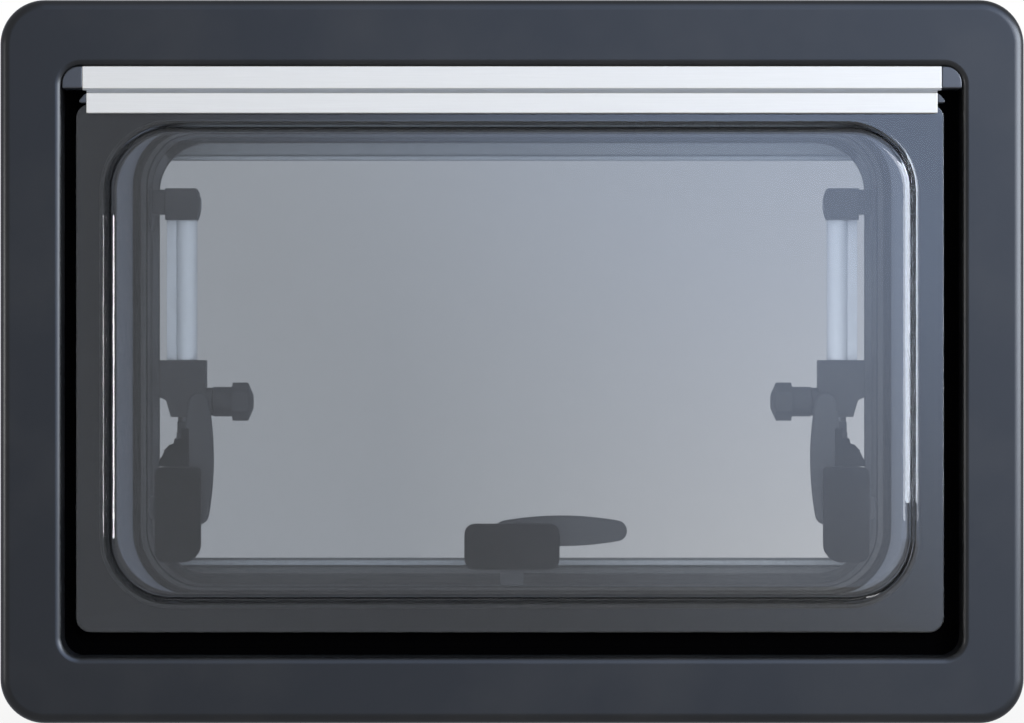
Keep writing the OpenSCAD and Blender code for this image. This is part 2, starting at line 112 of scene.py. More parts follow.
texture = {"grainDetail": 3, "grainRough": 0.65, "cloudDetail": 2, "lineDetail": 2,
           "dustDetail": 5, "dustRange": (0.45, 0.75)}


def makeGrainGroup(size):
    # A fine moulded grain over broad, soft clouds of tone
    group, given, result = newGroup(
        "mouldedGrain",
        [("Grain Size", 900.0), ("Cloud Size", 6.0), ("Cloud Share", 0.5)],
        ["Height", "Tone"])
    nodes, links = group.nodes, group.links
    place = nodes.new("ShaderNodeTexCoord").outputs["Object"]
    fine = noiseNode(nodes, links, place, given.outputs["Grain Size"], size["grainDetail"])
    fine.inputs["Roughness"].default_value = size["grainRough"]
    broad = noiseNode(nodes, links, place, given.outputs["Cloud Size"], size["cloudDetail"])
    share = given.outputs["Cloud Share"]
    cloud = mathNode(nodes, links, "MULTIPLY", broad.outputs["Fac"], share)
    rest = mathNode(nodes, links, "SUBTRACT", 1.0, share)
    speck = mathNode(nodes, links, "MULTIPLY", fine.outputs["Fac"], rest)
    links.new(fine.outputs["Fac"], result.inputs["Height"])
    links.new(mathNode(nodes, links, "ADD", cloud, speck, clamp=True), result.inputs["Tone"])
    return group


def makeLineGroup(size):
    # Drawing lines, as on extruded or drawn metal, long where the Along value of an axis is small
    group, given, result = newGroup(
        "drawnLines",
        [("Along X", 1.0), ("Along Y", 1.0), ("Along Z", 1.0), ("Line Size", 900.0)],
        ["Height", "Tone"])
    nodes, links = group.nodes, group.links
    join = nodes.new("ShaderNodeCombineXYZ")
    for axis in "XYZ":
        links.new(given.outputs["Along " + axis], join.inputs[axis])
    stretch = nodes.new("ShaderNodeVectorMath")
    stretch.operation = "MULTIPLY"
    links.new(nodes.new("ShaderNodeTexCoord").outputs["Object"], stretch.inputs[0])
    links.new(join.outputs[0], stretch.inputs[1])
    lines = noiseNode(nodes, links, stretch.outputs[0], given.outputs["Line Size"],
                      size["lineDetail"])
    links.new(lines.outputs["Fac"], result.inputs["Height"])
    links.new(lines.outputs["Fac"], result.inputs["Tone"])
    return group


def makeDustGroup(size):
    # Thin dust that gathers in soft patches
    group, given, result = newGroup(
        "softDust", [("Patch Size", 14.0), ("Amount", 0.1)], ["Mask"])
    nodes, links = group.nodes, group.links
    place = nodes.new("ShaderNodeTexCoord").outputs["Object"]
    patch = noiseNode(nodes, links, place, given.outputs["Patch Size"], size["dustDetail"])
    spread = mapRange(nodes, links, patch.outputs["Fac"], 0, 1, *size["dustRange"])
    links.new(mathNode(nodes, links, "MULTIPLY", spread, given.outputs["Amount"]),
              result.inputs["Mask"])
    return group


grainGroup = makeGrainGroup(texture)
lineGroup = makeLineGroup(texture)
dustGroup = makeDustGroup(texture)


# Finishes

def startMaterial(name):
    material = bpy.data.materials.new(name)
    material.use_nodes = True
    nodes, links = material.node_tree.nodes, material.node_tree.links
    return material, nodes, links, nodes["Principled BSDF"]


def wearSurface(nodes, links, shader, pattern, look):
    # Tone, dust, roughness and bump from a pattern group
    dust = placeGroup(nodes, dustGroup, {"Amount": look["dust"]})
    tone = mixColours(nodes, links, pattern.outputs["Tone"], look["dark"], look["light"])
    dusted = mixColours(nodes, links, dust.outputs["Mask"], tone, look["dustColour"])
    links.new(dusted, shader.inputs["Base Color"])
    rough = mapRange(nodes, links, pattern.outputs["Tone"], *look["rough"])
    links.new(rough, shader.inputs["Roughness"])
    bump = nodes.new("ShaderNodeBump")
    bump.inputs["Strength"].default_value = look["bump"]
    bump.inputs["Distance"].default_value = look["bumpDepth"]
    links.new(pattern.outputs["Height"], bump.inputs["Height"])
    links.new(bump.outputs["Normal"], shader.inputs["Normal"])


def makePlastic(name, look):
    material, nodes, links, shader = startMaterial(name)
    grain = placeGroup(nodes, grainGroup, {
        "Grain Size": look["grainSize"], "Cloud Size": look["cloudSize"],
        "Cloud Share": look["cloudShare"]})
    wearSurface(nodes, links, shader, grain, look)
    shader.inputs["Specular IOR Level"].default_value = look["shine"]
    return material


def makeMetal(name, look):
    material, nodes, links, shader = startMaterial(name)
    alongX, alongY, alongZ = look["along"]
    lines = placeGroup(nodes, lineGroup, {
        "Along X": alongX, "Along Y": alongY, "Along Z": alongZ, "Line Size": look["lineSize"]})
    wearSurface(nodes, links, shader, lines, look)
    shader.inputs["Metallic"].default_value = look["metal"]
    return material


def makeAcrylic(name, look):
    # Clear tinted sheet, with painted light that makes it paler toward its lower right
    material, nodes, links, shader = startMaterial(name)
    parts = nodes.new("ShaderNodeSeparateXYZ")
    links.new(nodes.new("ShaderNodeTexCoord").outputs["Object"], parts.inputs[0])
    across = mapRange(nodes, links, parts.outputs["X"], 0, 1, *look["paintedLightAcross"])
    upward = mapRange(nodes, links, parts.outputs["Z"], 1, 0, *look["paintedLightUp"])
    share = mathNode(nodes, links, "MULTIPLY", across, upward)
    links.new(mixColours(nodes, links, share, look["deep"], look["pale"]),
              shader.inputs["Base Color"])
    shader.inputs["Transmission Weight"].default_value = 1
    shader.inputs["IOR"].default_value = look["bend"]
    shader.inputs["Roughness"].default_value = look["rough"]
    return material


foamLook = {"dark": (0.0055, 0.0055, 0.0055), "light": (0.0085, 0.0085, 0.0085),
            "rough": (0.31, 0.37), "grainSize": 1400, "cloudSize": 5, "cloudShare": 0.6,
            "bump": 0.12, "bumpDepth": 0.0001, "shine": 0.36, "dust": 0.04,
            "dustColour": (0.25, 0.24, 0.22)}
# Painted shade: a near black finish for the ledge and lip behind the frame's opening
recessPaintedShadeLook = dict(foamLook, dark=(0.001, 0.001, 0.0012), light=(0.002, 0.002, 0.0025),
                     rough=(0.8, 0.9), shine=0.0, dust=0.0)
# Painted light: a pale bluish glow for the sides of the frame's lip
lipPaintedGlowLook = dict(foamLook, dark=(0.075, 0.085, 0.108), light=(0.088, 0.100, 0.125),
               rough=(0.6, 0.7), shine=0.2, dust=0.0)
trimLook = dict(foamLook, dark=(0.036, 0.038, 0.042), light=(0.048, 0.051, 0.056),
                rough=(0.42, 0.5))
# Painted light for the sides of the inner frame's rim, and painted shade for its top
trimPaintedLightLook = dict(trimLook, dark=(0.135, 0.145, 0.165), light=(0.155, 0.167, 0.190))
trimPaintedShadeLook = dict(trimLook, dark=(0.006, 0.0065, 0.0075), light=(0.010, 0.0105, 0.012))
capLook = dict(foamLook, dark=(0.040, 0.043, 0.050), light=(0.055, 0.060, 0.070),
               rough=(0.3, 0.36), shine=0.5)
darkLook = dict(foamLook, dark=(0.030, 0.033, 0.039), light=(0.040, 0.044, 0.052),
                rough=(0.38, 0.46), grainSize=2200, shine=0.4)
knobLook = dict(darkLook, rough=(0.34, 0.42), bump=0.2)
padLook = dict(darkLook, dark=(0.006, 0.0065, 0.0075), light=(0.010, 0.0105, 0.012),
               rough=(0.42, 0.5))
sealLook = dict(foamLook, dark=(0.008, 0.008, 0.009), light=(0.014, 0.014, 0.016),
                rough=(0.7, 0.8), shine=0.2)
bondLook = dict(foamLook, dark=(0.030, 0.034, 0.040), light=(0.037, 0.041, 0.048),
                rough=(0.5, 0.6), bump=0.03)
# Painted highlight for the blind bars' ridge
ridgePaintedHighlightLook = dict(foamLook, dark=(0.29, 0.32, 0.35), light=(0.34, 0.37, 0.40),
                 rough=(0.35, 0.42), grainSize=1800)
barLook = dict(ridgePaintedHighlightLook, dark=(0.20, 0.22, 0.24), light=(0.24, 0.26, 0.28))
# Painted shade for the bottom blind bar's face
barPaintedShadeLook = dict(ridgePaintedHighlightLook, dark=(0.10, 0.108, 0.116), light=(0.125, 0.133, 0.14))

railLook = {"dark": (0.79, 0.78, 0.75), "light": (0.86, 0.85, 0.82), "rough": (0.36, 0.44),
            "metal": 0.1, "along": (0.02, 1, 1), "lineSize": 1500, "bump": 0.05,
            "bumpDepth": 0.00005, "dust": 0.05, "dustColour": (0.7, 0.69, 0.66)}
# Painted shade for the groove between the hinge rails
railPaintedShadeLook = dict(railLook, dark=(0.33, 0.345, 0.365), light=(0.38, 0.395, 0.415))
tubeLook = dict(railLook, dark=(0.62, 0.66, 0.71), light=(0.70, 0.74, 0.79),
                rough=(0.3, 0.38), metal=0.2, along=(1, 1, 0.02))
rodLook = dict(tubeLook, dark=(0.55, 0.56, 0.58), light=(0.66, 0.67, 0.69),
               rough=(0.18, 0.26), metal=1.0)
pinLook = dict(rodLook, along=(0.05, 1, 1), rough=(0.3, 0.4))

# The pale colour is painted light, spread toward the sheet's lower right
acrylicLook = {"deep": (0.512, 0.532, 0.56), "pale": (0.69, 0.70, 0.71), "rough": 0.0,
               "bend": 1.49, "paintedLightAcross": (-0.08, 0.27), "paintedLightUp": (0.05, 0.38)}

foam = makePlastic("foamAnthracite", foamLook)
recessPaintedShade = makePlastic("foamRecessPaintedShade", recessPaintedShadeLook)
lipPaintedGlow = makePlastic("foamLipPaintedGlow", lipPaintedGlowLook)
trim = makePlastic("innerFramePlastic", trimLook)
trimPaintedLight = makePlastic("innerFrameRimSidesPaintedLight", trimPaintedLightLook)
trimPaintedShade = makePlastic("innerFrameRimTopPaintedShade", trimPaintedShadeLook)
cap = makePlastic("endCapPlastic", capLook)
darkPlastic = makePlastic("latchAndClampPlastic", darkLook)
knobPlastic = makePlastic("knobPlastic", knobLook)
padPlastic = makePlastic("latchBasePlastic", padLook)
rubber = makePlastic("sealRubber", sealLook)
bond = makePlastic("bondingBlack", bondLook)
barPlastic = makePlastic("blindBarPlastic", barLook)
barRidgePaintedHighlight = makePlastic("blindBarRidgePaintedHighlight", ridgePaintedHighlightLook)
barPaintedShade = makePlastic("blindBarPaintedShade", barPaintedShadeLook)
rail = makeMetal("railAnodised", railLook)
railPaintedShade = makeMetal("railGroovePaintedShade", railPaintedShadeLook)
tube = makeMetal("tubeAluminium", tubeLook)
rod = makeMetal("rodSteel", rodLook)
pin = makeMetal("pinZinc", pinLook)
acrylic = makeAcrylic("tintedAcrylic", acrylicLook)
print("finishes made")


# Modelling helpers

def roundEdges(bm, edges, width, steps):
    bmesh.ops.bevel(bm, geom=edges, offset=width, offset_type="OFFSET", affect="EDGES",
                    segments=steps, profile=0.5, material=-1, clamp_overlap=True)


def roundCorners(bm, corners, radius, steps):
    bmesh.ops.bevel(bm, geom=corners, offset=radius, offset_type="OFFSET", affect="VERTICES",
                    segments=steps, profile=0.5, material=-1, clamp_overlap=True)


def vertsOf(edges):
    return list({vert for edge in edges for vert in edge.verts})


def turnUpright(bm, verts):
    bmesh.ops.rotate(bm, cent=(0, 0, 0), matrix=Matrix.Rotation(radians(90), 3, "X"), verts=verts)


def sheet(bm, outline, y, steps):
    # A rounded rectangle that faces outside: half width, lowest and highest z, corner radius
    halfWide, low, high, corner = outline
    before = set(bm.faces)
    corners = bmesh.ops.create_grid(bm, x_segments=1, y_segments=1, size=1)["verts"]
    bmesh.ops.scale(bm, vec=(halfWide, (high - low) / 2, 1), verts=corners)
    turnUpright(bm, corners)
    bmesh.ops.translate(bm, vec=(0, y, (low + high) / 2), verts=corners)
    roundCorners(bm, corners, corner, steps)
    return [face for face in bm.faces if face not in before][0]


def hoops(bm, plan, closed, steps):
    # Rounded outlines bridged one to the next; they stand apart while they are bridged
    apart = 100
    rims = []
    for count, (outline, y) in enumerate(plan):
        face = sheet(bm, outline, apart * count, steps)
        rims.append(list(face.edges))
        bmesh.ops.delete(bm, geom=[face], context="FACES_ONLY")
    for one, other in zip(rims, rims[1:] + (rims[:1] if closed else [])):
        bmesh.ops.bridge_loops(bm, edges=one + other)
    for count, (outline, y) in enumerate(plan):
        bmesh.ops.translate(bm, vec=(0, y - apart * count, 0), verts=vertsOf(rims[count]))
    return rims


def pushFaces(bm, faces, step):
    pushed = bmesh.ops.extrude_face_region(bm, geom=faces, use_keep_orig=True)["geom"]
    verts = [item for item in pushed if isinstance(item, bmesh.types.BMVert)]
    bmesh.ops.translate(bm, vec=step, verts=verts)


def block(bm, low, high):
    low, high = Vector(low), Vector(high)
    verts = bmesh.ops.create_cube(bm, size=1)["verts"]
    bmesh.ops.scale(bm, vec=high - low, verts=verts)
    bmesh.ops.translate(bm, vec=(low + high) / 2, verts=verts)
    return verts


def drum(bm, radius, start, end, centre, axis, steps):
    # A cylinder from start to end along X or Y
    turn = {"X": Matrix.Rotation(radians(90), 4, "Y"), "Y": Matrix.Rotation(radians(-90), 4, "X")}
    spot = list(centre)
    spot["XY".index(axis)] = (start + end) / 2
    bmesh.ops.create_cone(bm, cap_ends=True, segments=steps, radius1=radius, radius2=radius,
                          depth=end - start, matrix=Matrix.Translation(spot) @ turn[axis])


def extrudedBar(bm, section, half):
    # A section of (y, z) points pushed along X from -half to half
    face = bm.faces.new([bm.verts.new((-half, y, z)) for y, z in section])
    pushFaces(bm, [face], (half * 2, 0, 0))


# Gaps below which points are merged: modelled in millimetres, placed and copied in metres.
# Copied faces that differ by less than the flat angle, in degrees, become one.
mergeGap = {"modelled": 0.0005, "placed": 0.000001, "copied": 0.00002}
flatAngle = 1


def addPiece(name, bm, body, materials, nodes, sharp=40, placed=False):
    gap = mergeGap["placed" if placed else "modelled"]
    bmesh.ops.remove_doubles(bm, verts=bm.verts, dist=gap)
    bmesh.ops.recalc_face_normals(bm, faces=bm.faces)
    for face in bm.faces:
        face.smooth = True
    for edge in bm.edges:
        if len(edge.link_faces) == 2 and edge.calc_face_angle(0) > radians(sharp):
            edge.smooth = False
    if not placed:
        bm.transform(toRow)
    mesh = bpy.data.meshes.new(name)
    bm.to_mesh(mesh)
    bm.free()
    piece = bpy.data.objects.new(name, mesh)
    bpy.context.scene.collection.objects.link(piece)
    for material in materials:
        mesh.materials.append(material)
    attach(piece, body)
    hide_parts(*nodes)
    return piece


def evenNormals(piece):
    even = piece.modifiers.new("evenNormals", "WEIGHTED_NORMAL")
    even.keep_sharp = True
    even.weight = 100


def soften(piece, width, steps, angle=40):
    rounding = piece.modifiers.new("softEdges", "BEVEL")
    rounding.width = width * millimetre
    rounding.segments = steps
    rounding.limit_method = "ANGLE"
    rounding.angle_limit = radians(angle)
    rounding.miter_outer = "MITER_ARC"
    evenNormals(piece)


def fromNode(name, node, body, material, width, steps, more=None, across=0):
    # A merged copy of a CAD node with its edges softened
    bm = bmesh.new()
    bm.from_mesh(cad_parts[node].data)
    bmesh.ops.remove_doubles(bm, verts=bm.verts, dist=mergeGap["copied"])
    bmesh.ops.dissolve_limit(bm, angle_limit=radians(flatAngle), verts=bm.verts,
                             edges=bm.edges)
    bmesh.ops.translate(bm, vec=(across * millimetre, 0, 0), verts=bm.verts)
    if more:
        bmesh.ops.transform(bm, matrix=toRow, verts=block(bm, *more))
    soften(addPiece(name, bm, body, [material], [node], placed=True), width, steps)


# Outer frame: one band with a rounded outside and opening, a ledge, a lip and a collar in the
# wall. Outlines here and below are half width, lowest and highest z, and corner radius.
outerFrame = {"outside": (342.5, -242.2, 242, 30), "opening": (301, -197.5, 197.5, 13),
              "ledge": (294, -192.5, 192.5, 13), "lipGlow": (267.5, -157, 158, 44),
              "lipShade": (251, -156.9, 157.9, 41), "lip": (246, -152.2, 156.6, 39),
              "collar": (298, -197, 197, 13), "front": -24, "ledgeFront": -3, "lipFront": -1,
              "lipBack": 5, "collarBack": 26, "outsideRound": 7.5, "openingRound": 4.4,
              "lipRound": 0.8, "lipSteps": 3, "cornerSteps": 16, "edgeSteps": 8,
              "shadeFrom": -4, "shadeMargin": 1}


def makeOuterFrame(size):
    bm = bmesh.new()
    plan = [("outside", 0), ("outside", size["front"]), ("opening", size["front"]),
            ("opening", size["ledgeFront"]), ("ledge", size["ledgeFront"]),
            ("ledge", size["lipFront"]), ("lipGlow", size["lipFront"]),
            ("lipShade", size["lipFront"]), ("lip", size["lipFront"]), ("lip", size["lipBack"]),
            ("ledge", size["lipBack"]), ("ledge", size["collarBack"]),
            ("collar", size["collarBack"]), ("collar", 0)]
    outlines = [(size[name], y) for name, y in plan]
    rims = hoops(bm, outlines, closed=True, steps=size["cornerSteps"])
    outside, opening = rims[1:3]
    glowRim, shadeRim, lip = rims[6:9]
    glow, shade = set(vertsOf(glowRim + shadeRim)), set(vertsOf(shadeRim + lip))
    halfWide = size["opening"][0] - size["shadeMargin"]
    halfTall = size["opening"][2] - size["shadeMargin"]
    for face in bm.faces:
        middle = face.calc_center_median()
        # Painted light: a bright ring at the lip's sides, and inside it a dimmer ring in the inner
        # frame's finish
        if glow.issuperset(face.verts):
            face.material_index = 2
        elif shade.issuperset(face.verts):
            face.material_index = 3
        # Painted shade on the ledge and lip faces behind the opening
        elif abs(middle.x) < halfWide and abs(middle.z) < halfTall and middle.y > size["shadeFrom"]:
            face.material_index = 1
    roundEdges(bm, outside, size["outsideRound"], size["edgeSteps"])
    roundEdges(bm, opening, size["openingRound"], size["edgeSteps"])
    roundEdges(bm, lip, size["lipRound"], size["lipSteps"])
    evenNormals(addPiece("frameBand", bm, "frame", [foam, recessPaintedShade, lipPaintedGlow, trim],
                         ["outer_frame"]))


makeOuterFrame(outerFrame)
print("outer frame made")


# Fixed hinge rail and the moving rail of the sash, as (y, z) sections; groove is the part with
# painted shade
hingeRails = {
    "upper": {"body": "frame", "half": 287, "edge": 0.7, "edgeSteps": 3, "groove": (181, 182.2),
              "section": [(-3, 182.5), (-3, 197.2), (-22.5, 197.2), (-22.5, 182.5),
                          (-21.6, 182.5), (-21.6, 181.3), (-16.4, 181.3), (-16.4, 182.5)]},
    "lower": {"body": "sash", "half": 284.5, "edge": 0.4, "edgeSteps": 2, "groove": (179.4, 183),
              "section": [(-21, 166.2), (-21, 179.1), (-20.5, 179.6), (-19.5, 179.6),
                          (-19.5, 180.7), (-18.5, 180.7), (-18.5, 179.6), (-4.5, 179.6),
                          (-4.5, 172), (-7, 172), (-7, 173), (-14, 173), (-14, 166.2)],
              "bead": {"radius": 1.3, "y": -19, "z": 181, "steps": 24}}}
railAngle = 50


def makeRail(name, node, size):
    bm = bmesh.new()
    extrudedBar(bm, size["section"], size["half"])
    if "bead" in size:
        bead = size["bead"]
        drum(bm, bead["radius"], -size["half"], size["half"], (0, bead["y"], bead["z"]), "X",
             bead["steps"])
    grooveLow, grooveHigh = size["groove"]
    for face in bm.faces:
        face.material_index = 1 if grooveLow < face.calc_center_median().z < grooveHigh else 0
    soften(addPiece(name, bm, size["body"], [rail, railPaintedShade], [node]),
           size["edge"], size["edgeSteps"], railAngle)


# Caps at the ends of both rails, the upper ones with a large round outer corner
endCaps = {"inner": 287, "outer": 300.7, "front": -22.3, "back": -3, "low": 182.6, "high": 197.2,
           "corner": 11.2, "cornerReach": 1, "cornerSteps": 12, "edge": 0.9, "edgeSteps": 3,
           "lowerEdge": 0.6, "lowerSteps": 2}


def makeEndCap(name, side, size):
    bm = bmesh.new()
    left, right = sorted((side * size["inner"], side * size["outer"]))
    block(bm, (left, size["front"], size["low"]), (right, size["back"], size["high"]))
    cornerOut, cornerUp = size["outer"] - size["cornerReach"], size["high"] - size["cornerReach"]
    corner = [edge for edge in bm.edges
              if all(side * vert.co.x > cornerOut and vert.co.z > cornerUp
                     for vert in edge.verts)]
    roundEdges(bm, corner, size["corner"], size["cornerSteps"])
    soften(addPiece("endCap_" + name, bm, "frame", [cap], ["end_cap_" + name],
                    sharp=30), size["edge"], size["edgeSteps"], railAngle)


makeRail("hingeRailUpper", "hinge_rail_upper", hingeRails["upper"])
makeRail("hingeRailLower", "hinge_rail_lower", hingeRails["lower"])
for name, side in sides.items():
    makeEndCap(name, side, endCaps)
    fromNode("railEnd_" + name, "rail_end_" + name, "sash", cap,
             endCaps["lowerEdge"], endCaps["lowerSteps"])
print("hinge rails made")


# Sash: outer pane with its raised field, flat inner pane, and the dark bond between them.
# Across shifts each outline, as the sash hangs a little left of the middle.
sash = {"outline": (291, -181.6, 173, 10), "foot": (271.65, -162.5, 159.1, 44.25),
        "shoulder": (266.15, -156.95, 153.55, 39.25), "innerFoot": (269.6, -159.9, 156.5, 42.2),
        "innerShoulder": (264.1, -154.9, 151.5, 37.2), "steps": 24,
        "across": {"shoulder": 0.1, "foot": -1.9, "outline": -1.3, "innerFoot": -1.9,
                   "innerShoulder": 0.1},
        "fieldFront": -27, "fieldBack": -24, "paneFront": -14, "paneBack": -11,
        "innerFront": -10, "innerBack": -7, "shoulderRound": 6.8, "shoulderSteps": 12,
        "footRound": 3.2, "footSteps": 6, "edgeRound": 0.8, "edgeSteps": 3, "innerRound": 4.7,
        "innerSteps": 8, "innerEdge": 0.6, "innerEdgeSteps": 2, "bondEdge": 0.2,
        "bondSteps": 1}


def makeOuterPane(size):
    bm = bmesh.new()
    plan = [("shoulder", size["fieldFront"]), ("foot", size["paneFront"]),
            ("outline", size["paneFront"]), ("outline", size["paneBack"]),
            ("innerFoot", size["paneBack"]), ("innerShoulder", size["fieldBack"])]
    outlines = [(size[name], y) for name, y in plan]
    rims = hoops(bm, outlines, closed=False, steps=size["steps"])
    for (name, y), rim in zip(plan, rims):
        bmesh.ops.translate(bm, vec=(size["across"][name], 0, 0), verts=vertsOf(rim))
    shoulder, foot, edge = rims[:3]
    innerFoot, innerShoulder = rims[4:]
    bmesh.ops.contextual_create(bm, geom=shoulder)
    bmesh.ops.contextual_create(bm, geom=innerShoulder)
    roundEdges(bm, shoulder, size["shoulderRound"], size["shoulderSteps"])
    roundEdges(bm, foot, size["footRound"], size["footSteps"])
    roundEdges(bm, edge, size["edgeRound"], size["edgeSteps"])
    roundEdges(bm, innerFoot + innerShoulder, size["innerRound"], size["innerSteps"])
    evenNormals(addPiece("paneOuter", bm, "sash", [acrylic], ["outer_pane"],
                         sharp=60))


def makeInnerPane(size):
    bm = bmesh.new()
    face = sheet(bm, size["outline"], size["innerBack"], size["steps"])
    pushFaces(bm, [face], (0, size["innerFront"] - size["innerBack"], 0))
    bmesh.ops.translate(bm, vec=(size["across"]["outline"], 0, 0), verts=bm.verts)
    soften(addPiece("paneInner", bm, "sash", [acrylic], ["inner_pane"]),
           size["innerEdge"], size["innerEdgeSteps"])


makeOuterPane(sash)
makeInnerPane(sash)
fromNode("edgeBond", "edge_bond", "sash", bond, sash["bondEdge"],
         sash["bondSteps"], across=sash["across"]["outline"])
print("sash made")


# Inner frame with its reveal and the pocket of the blinds
innerFrame = {"trim": (322, -222, 222, 34), "room": (244.3, -148.2, 152.5, 36.5),
              "pocket": (250, -156.2, 160.6, 43), "clear": (241.3, -145.2, 149.5, 33.5),
              "reveal": (246, -152.2, 156.6, 39), "rim": (312, -212, 212, 24), "steps": 16,
              "revealFront": 5, "trimFront": 34, "rimFace": 38, "rimBack": 43, "pocketBack": 50,
              "roomFace": 54, "roomRound": 4, "roomSteps": 6, "edgeRound": 0.8, "edgeSteps": 3,
              "rimSlack": 0.1, "litBeyond": 236, "litLow": -153, "litHigh": 157}


def makeInnerFrame(size):
    bm = bmesh.new()
    plan = [("trim", "trimFront"), ("trim", "roomFace"), ("room", "roomFace"),
            ("room", "pocketBack"), ("pocket", "pocketBack"), ("pocket", "rimBack"),
            ("clear", "rimBack"), ("clear", "rimFace"), ("reveal", "rimFace"),
            ("reveal", "revealFront"), ("pocket", "revealFront"), ("pocket", "rimFace"),
            ("rim", "rimFace"), ("rim", "trimFront")]
    outlines = [(size[name], size[depth]) for name, depth in plan]
    rims = hoops(bm, outlines, closed=True, steps=size["steps"])
    roomOuter, roomInner, clearBack, clearFront = rims[1], rims[2], rims[6], rims[7]
    roundEdges(bm, roomOuter, size["roomRound"], size["roomSteps"])
    for rim in (roomInner, clearBack, clearFront):
        roundEdges(bm, rim, size["edgeRound"], size["edgeSteps"])
    # The rim round the clear opening gets painted light at its sides and painted shade above
    for face in bm.faces:
        middle = face.calc_center_median()
        onRim = abs(middle.y - size["rimFace"]) < size["rimSlack"]
        onRim = onRim and abs(middle.x) < size["reveal"][0]
        if onRim and size["litLow"] < middle.z < size["litHigh"]:
            if abs(middle.x) > size["litBeyond"]:
                face.material_index = 1
            elif middle.z > 0:
                face.material_index = 2
    evenNormals(addPiece("innerFrame", bm, "frame", [trim, trimPaintedLight, trimPaintedShade], ["inner_frame"]))


# The seal behind the sash
frameSeal = {"inside": (250, -155, 159, 42), "outside": (255, -160, 164, 47), "foot": -1,
             "tip": -6.6, "round": 2.3, "roundSteps": 6, "steps": 16}


def makeSeal(size):
    bm = bmesh.new()
    plan = [("inside", "foot"), ("inside", "tip"), ("outside", "tip"), ("outside", "foot")]
    outlines = [(size[name], size[depth]) for name, depth in plan]
    rims = hoops(bm, outlines, closed=True, steps=size["steps"])
    roundEdges(bm, rims[1] + rims[2], size["round"], size["roundSteps"])
    evenNormals(addPiece("frameSeal", bm, "frame", [rubber], ["frame_seal"]))


makeInnerFrame(innerFrame)
makeSeal(frameSeal)

# The two blind bars: a recessed face and a rounded ridge along the free edge. The ridge carries a
# painted highlight, and the bottom bar's face painted shade.
blindBars = {"half": 246, "back": 49.7, "face": 44.6, "ridge": 43.1, "deep": 46.5,
             "ridgeFrom": 43.4, "round": 0.6, "roundSteps": 3, "roundAngle": 30,
             "top": [(158, "face"), (141.5, "face"), (140.9, "ridge"), (138.2, "ridge"),
                     (137.9, "face")],
             "bottom": [(-154, "face"), (-141.6, "face"), (-141.4, "deep"), (-140.2, "deep"),
                        (-139.8, "ridge"), (-136.4, "ridge"), (-135.8, "deep"),
                        (-134.8, "deep")]}


def makeBar(name, node, plan, materials, size):
    bm = bmesh.new()
    front = [(size[depth], z) for z, depth in plan]
    section = [(size["back"], plan[0][0])] + front + [(size["back"], plan[-1][0])]
    extrudedBar(bm, section, size["half"])
    for face in bm.faces:
        face.material_index = 1 if face.calc_center_median().y < size["ridgeFrom"] else 0
    soften(addPiece(name, bm, "frame", materials, [node]), size["round"],
           size["roundSteps"], size["roundAngle"])


makeBar("screenBarTop", "screen_bar_top", blindBars["top"], [barPlastic, barRidgePaintedHighlight], blindBars)
makeBar("blindBarBottom", "blind_bar_bottom", blindBars["bottom"], [barPaintedShade, barRidgePaintedHighlight], blindBars)
print("inner frame made")


# Latches: base, lever and tongue. A base has a radius for each corner, named by its side and
# height, and a broad bevel on two of its sides.
latches = {"front": -7, "back": -1, "cornerSteps": 8, "rim": 3.2, "rimReach": 3,
           "padEdge": 0.8, "padSteps": 3, "leverEdge": 1.9, "leverSteps": 4,
           "tongueEdge": 0.3, "tongueSteps": 2,
           "pinRadius": 3, "pinStart": -2, "pinEnd": 6, "pinSteps": 32}
padPlans = {"left": {"middle": (-224.7, -103), "half": (15.4, 32), "pin": (-222.5, -98.5),
                     "rimSides": (1, 1),
                     "corners": {(-1, 1): 5, (-1, -1): 6.5, (1, -1): 12, (1, 1): 3.5}},
            "centre": {"middle": (0, -124.5), "half": (32, 15.4), "pin": (0, -124.5),
                       "rimSides": (1, 1),
                       "corners": {(-1, 1): 7, (-1, -1): 7, (1, -1): 7, (1, 1): 7}},
            "right": {"middle": (224.7, -103), "half": (15.4, 32), "pin": (222.5, -98.5),
                      "rimSides": (-1, 1),
                      "corners": {(1, 1): 5, (1, -1): 6.5, (-1, -1): 12, (-1, 1): 3.5}}}


def makePad(name, plan, size):
    bm = bmesh.new()
    middleX, middleZ = plan["middle"]
    halfX, halfZ = plan["half"]
    corners = bmesh.ops.create_grid(bm, x_segments=1, y_segments=1, size=1)["verts"]
    bmesh.ops.scale(bm, vec=(halfX, halfZ, 1), verts=corners)
    for (toX, toZ), radius in plan["corners"].items():
        corner = max(bm.verts, key=lambda vert: toX * vert.co.x + toZ * vert.co.y)
        roundCorners(bm, [corner], radius, size["cornerSteps"])
    turnUpright(bm, bm.verts)
    bmesh.ops.translate(bm, vec=(middleX, size["front"], middleZ), verts=bm.verts)
    front = list(bm.faces)
    pushFaces(bm, front, (0, size["back"] - size["front"], 0))
    rimX, rimZ = plan["rimSides"]
    rim = []
    for edge in front[0].edges:
        middle = (edge.verts[0].co + edge.verts[1].co) / 2
        if (rimX * (middle.x - middleX) > halfX - size["rimReach"]
                or rimZ * (middle.z - middleZ) > halfZ - size["rimReach"]):
            rim.append(edge)
    roundEdges(bm, rim, size["rim"], 1)
    pinX, pinZ = plan["pin"]
    drum(bm, size["pinRadius"], size["pinStart"], size["pinEnd"], (pinX, 0, pinZ), "Y",
         size["pinSteps"])
    soften(addPiece("latchBase_" + name, bm, "sash", [padPlastic], ["latch_base_" + name]), size["padEdge"], size["padSteps"])


for name in padPlans:
    makePad(name, padPlans[name], latches)
    fromNode("latchLever_" + name, "latch_lever_" + name, "latch_" + name, darkPlastic,
             latches["leverEdge"], latches["leverSteps"])
    fromNode("latchTongue_" + name, "latch_tongue_" + name, "latch_" + name, darkPlastic,
             latches["tongueEdge"], latches["tongueSteps"])
print("latches made")


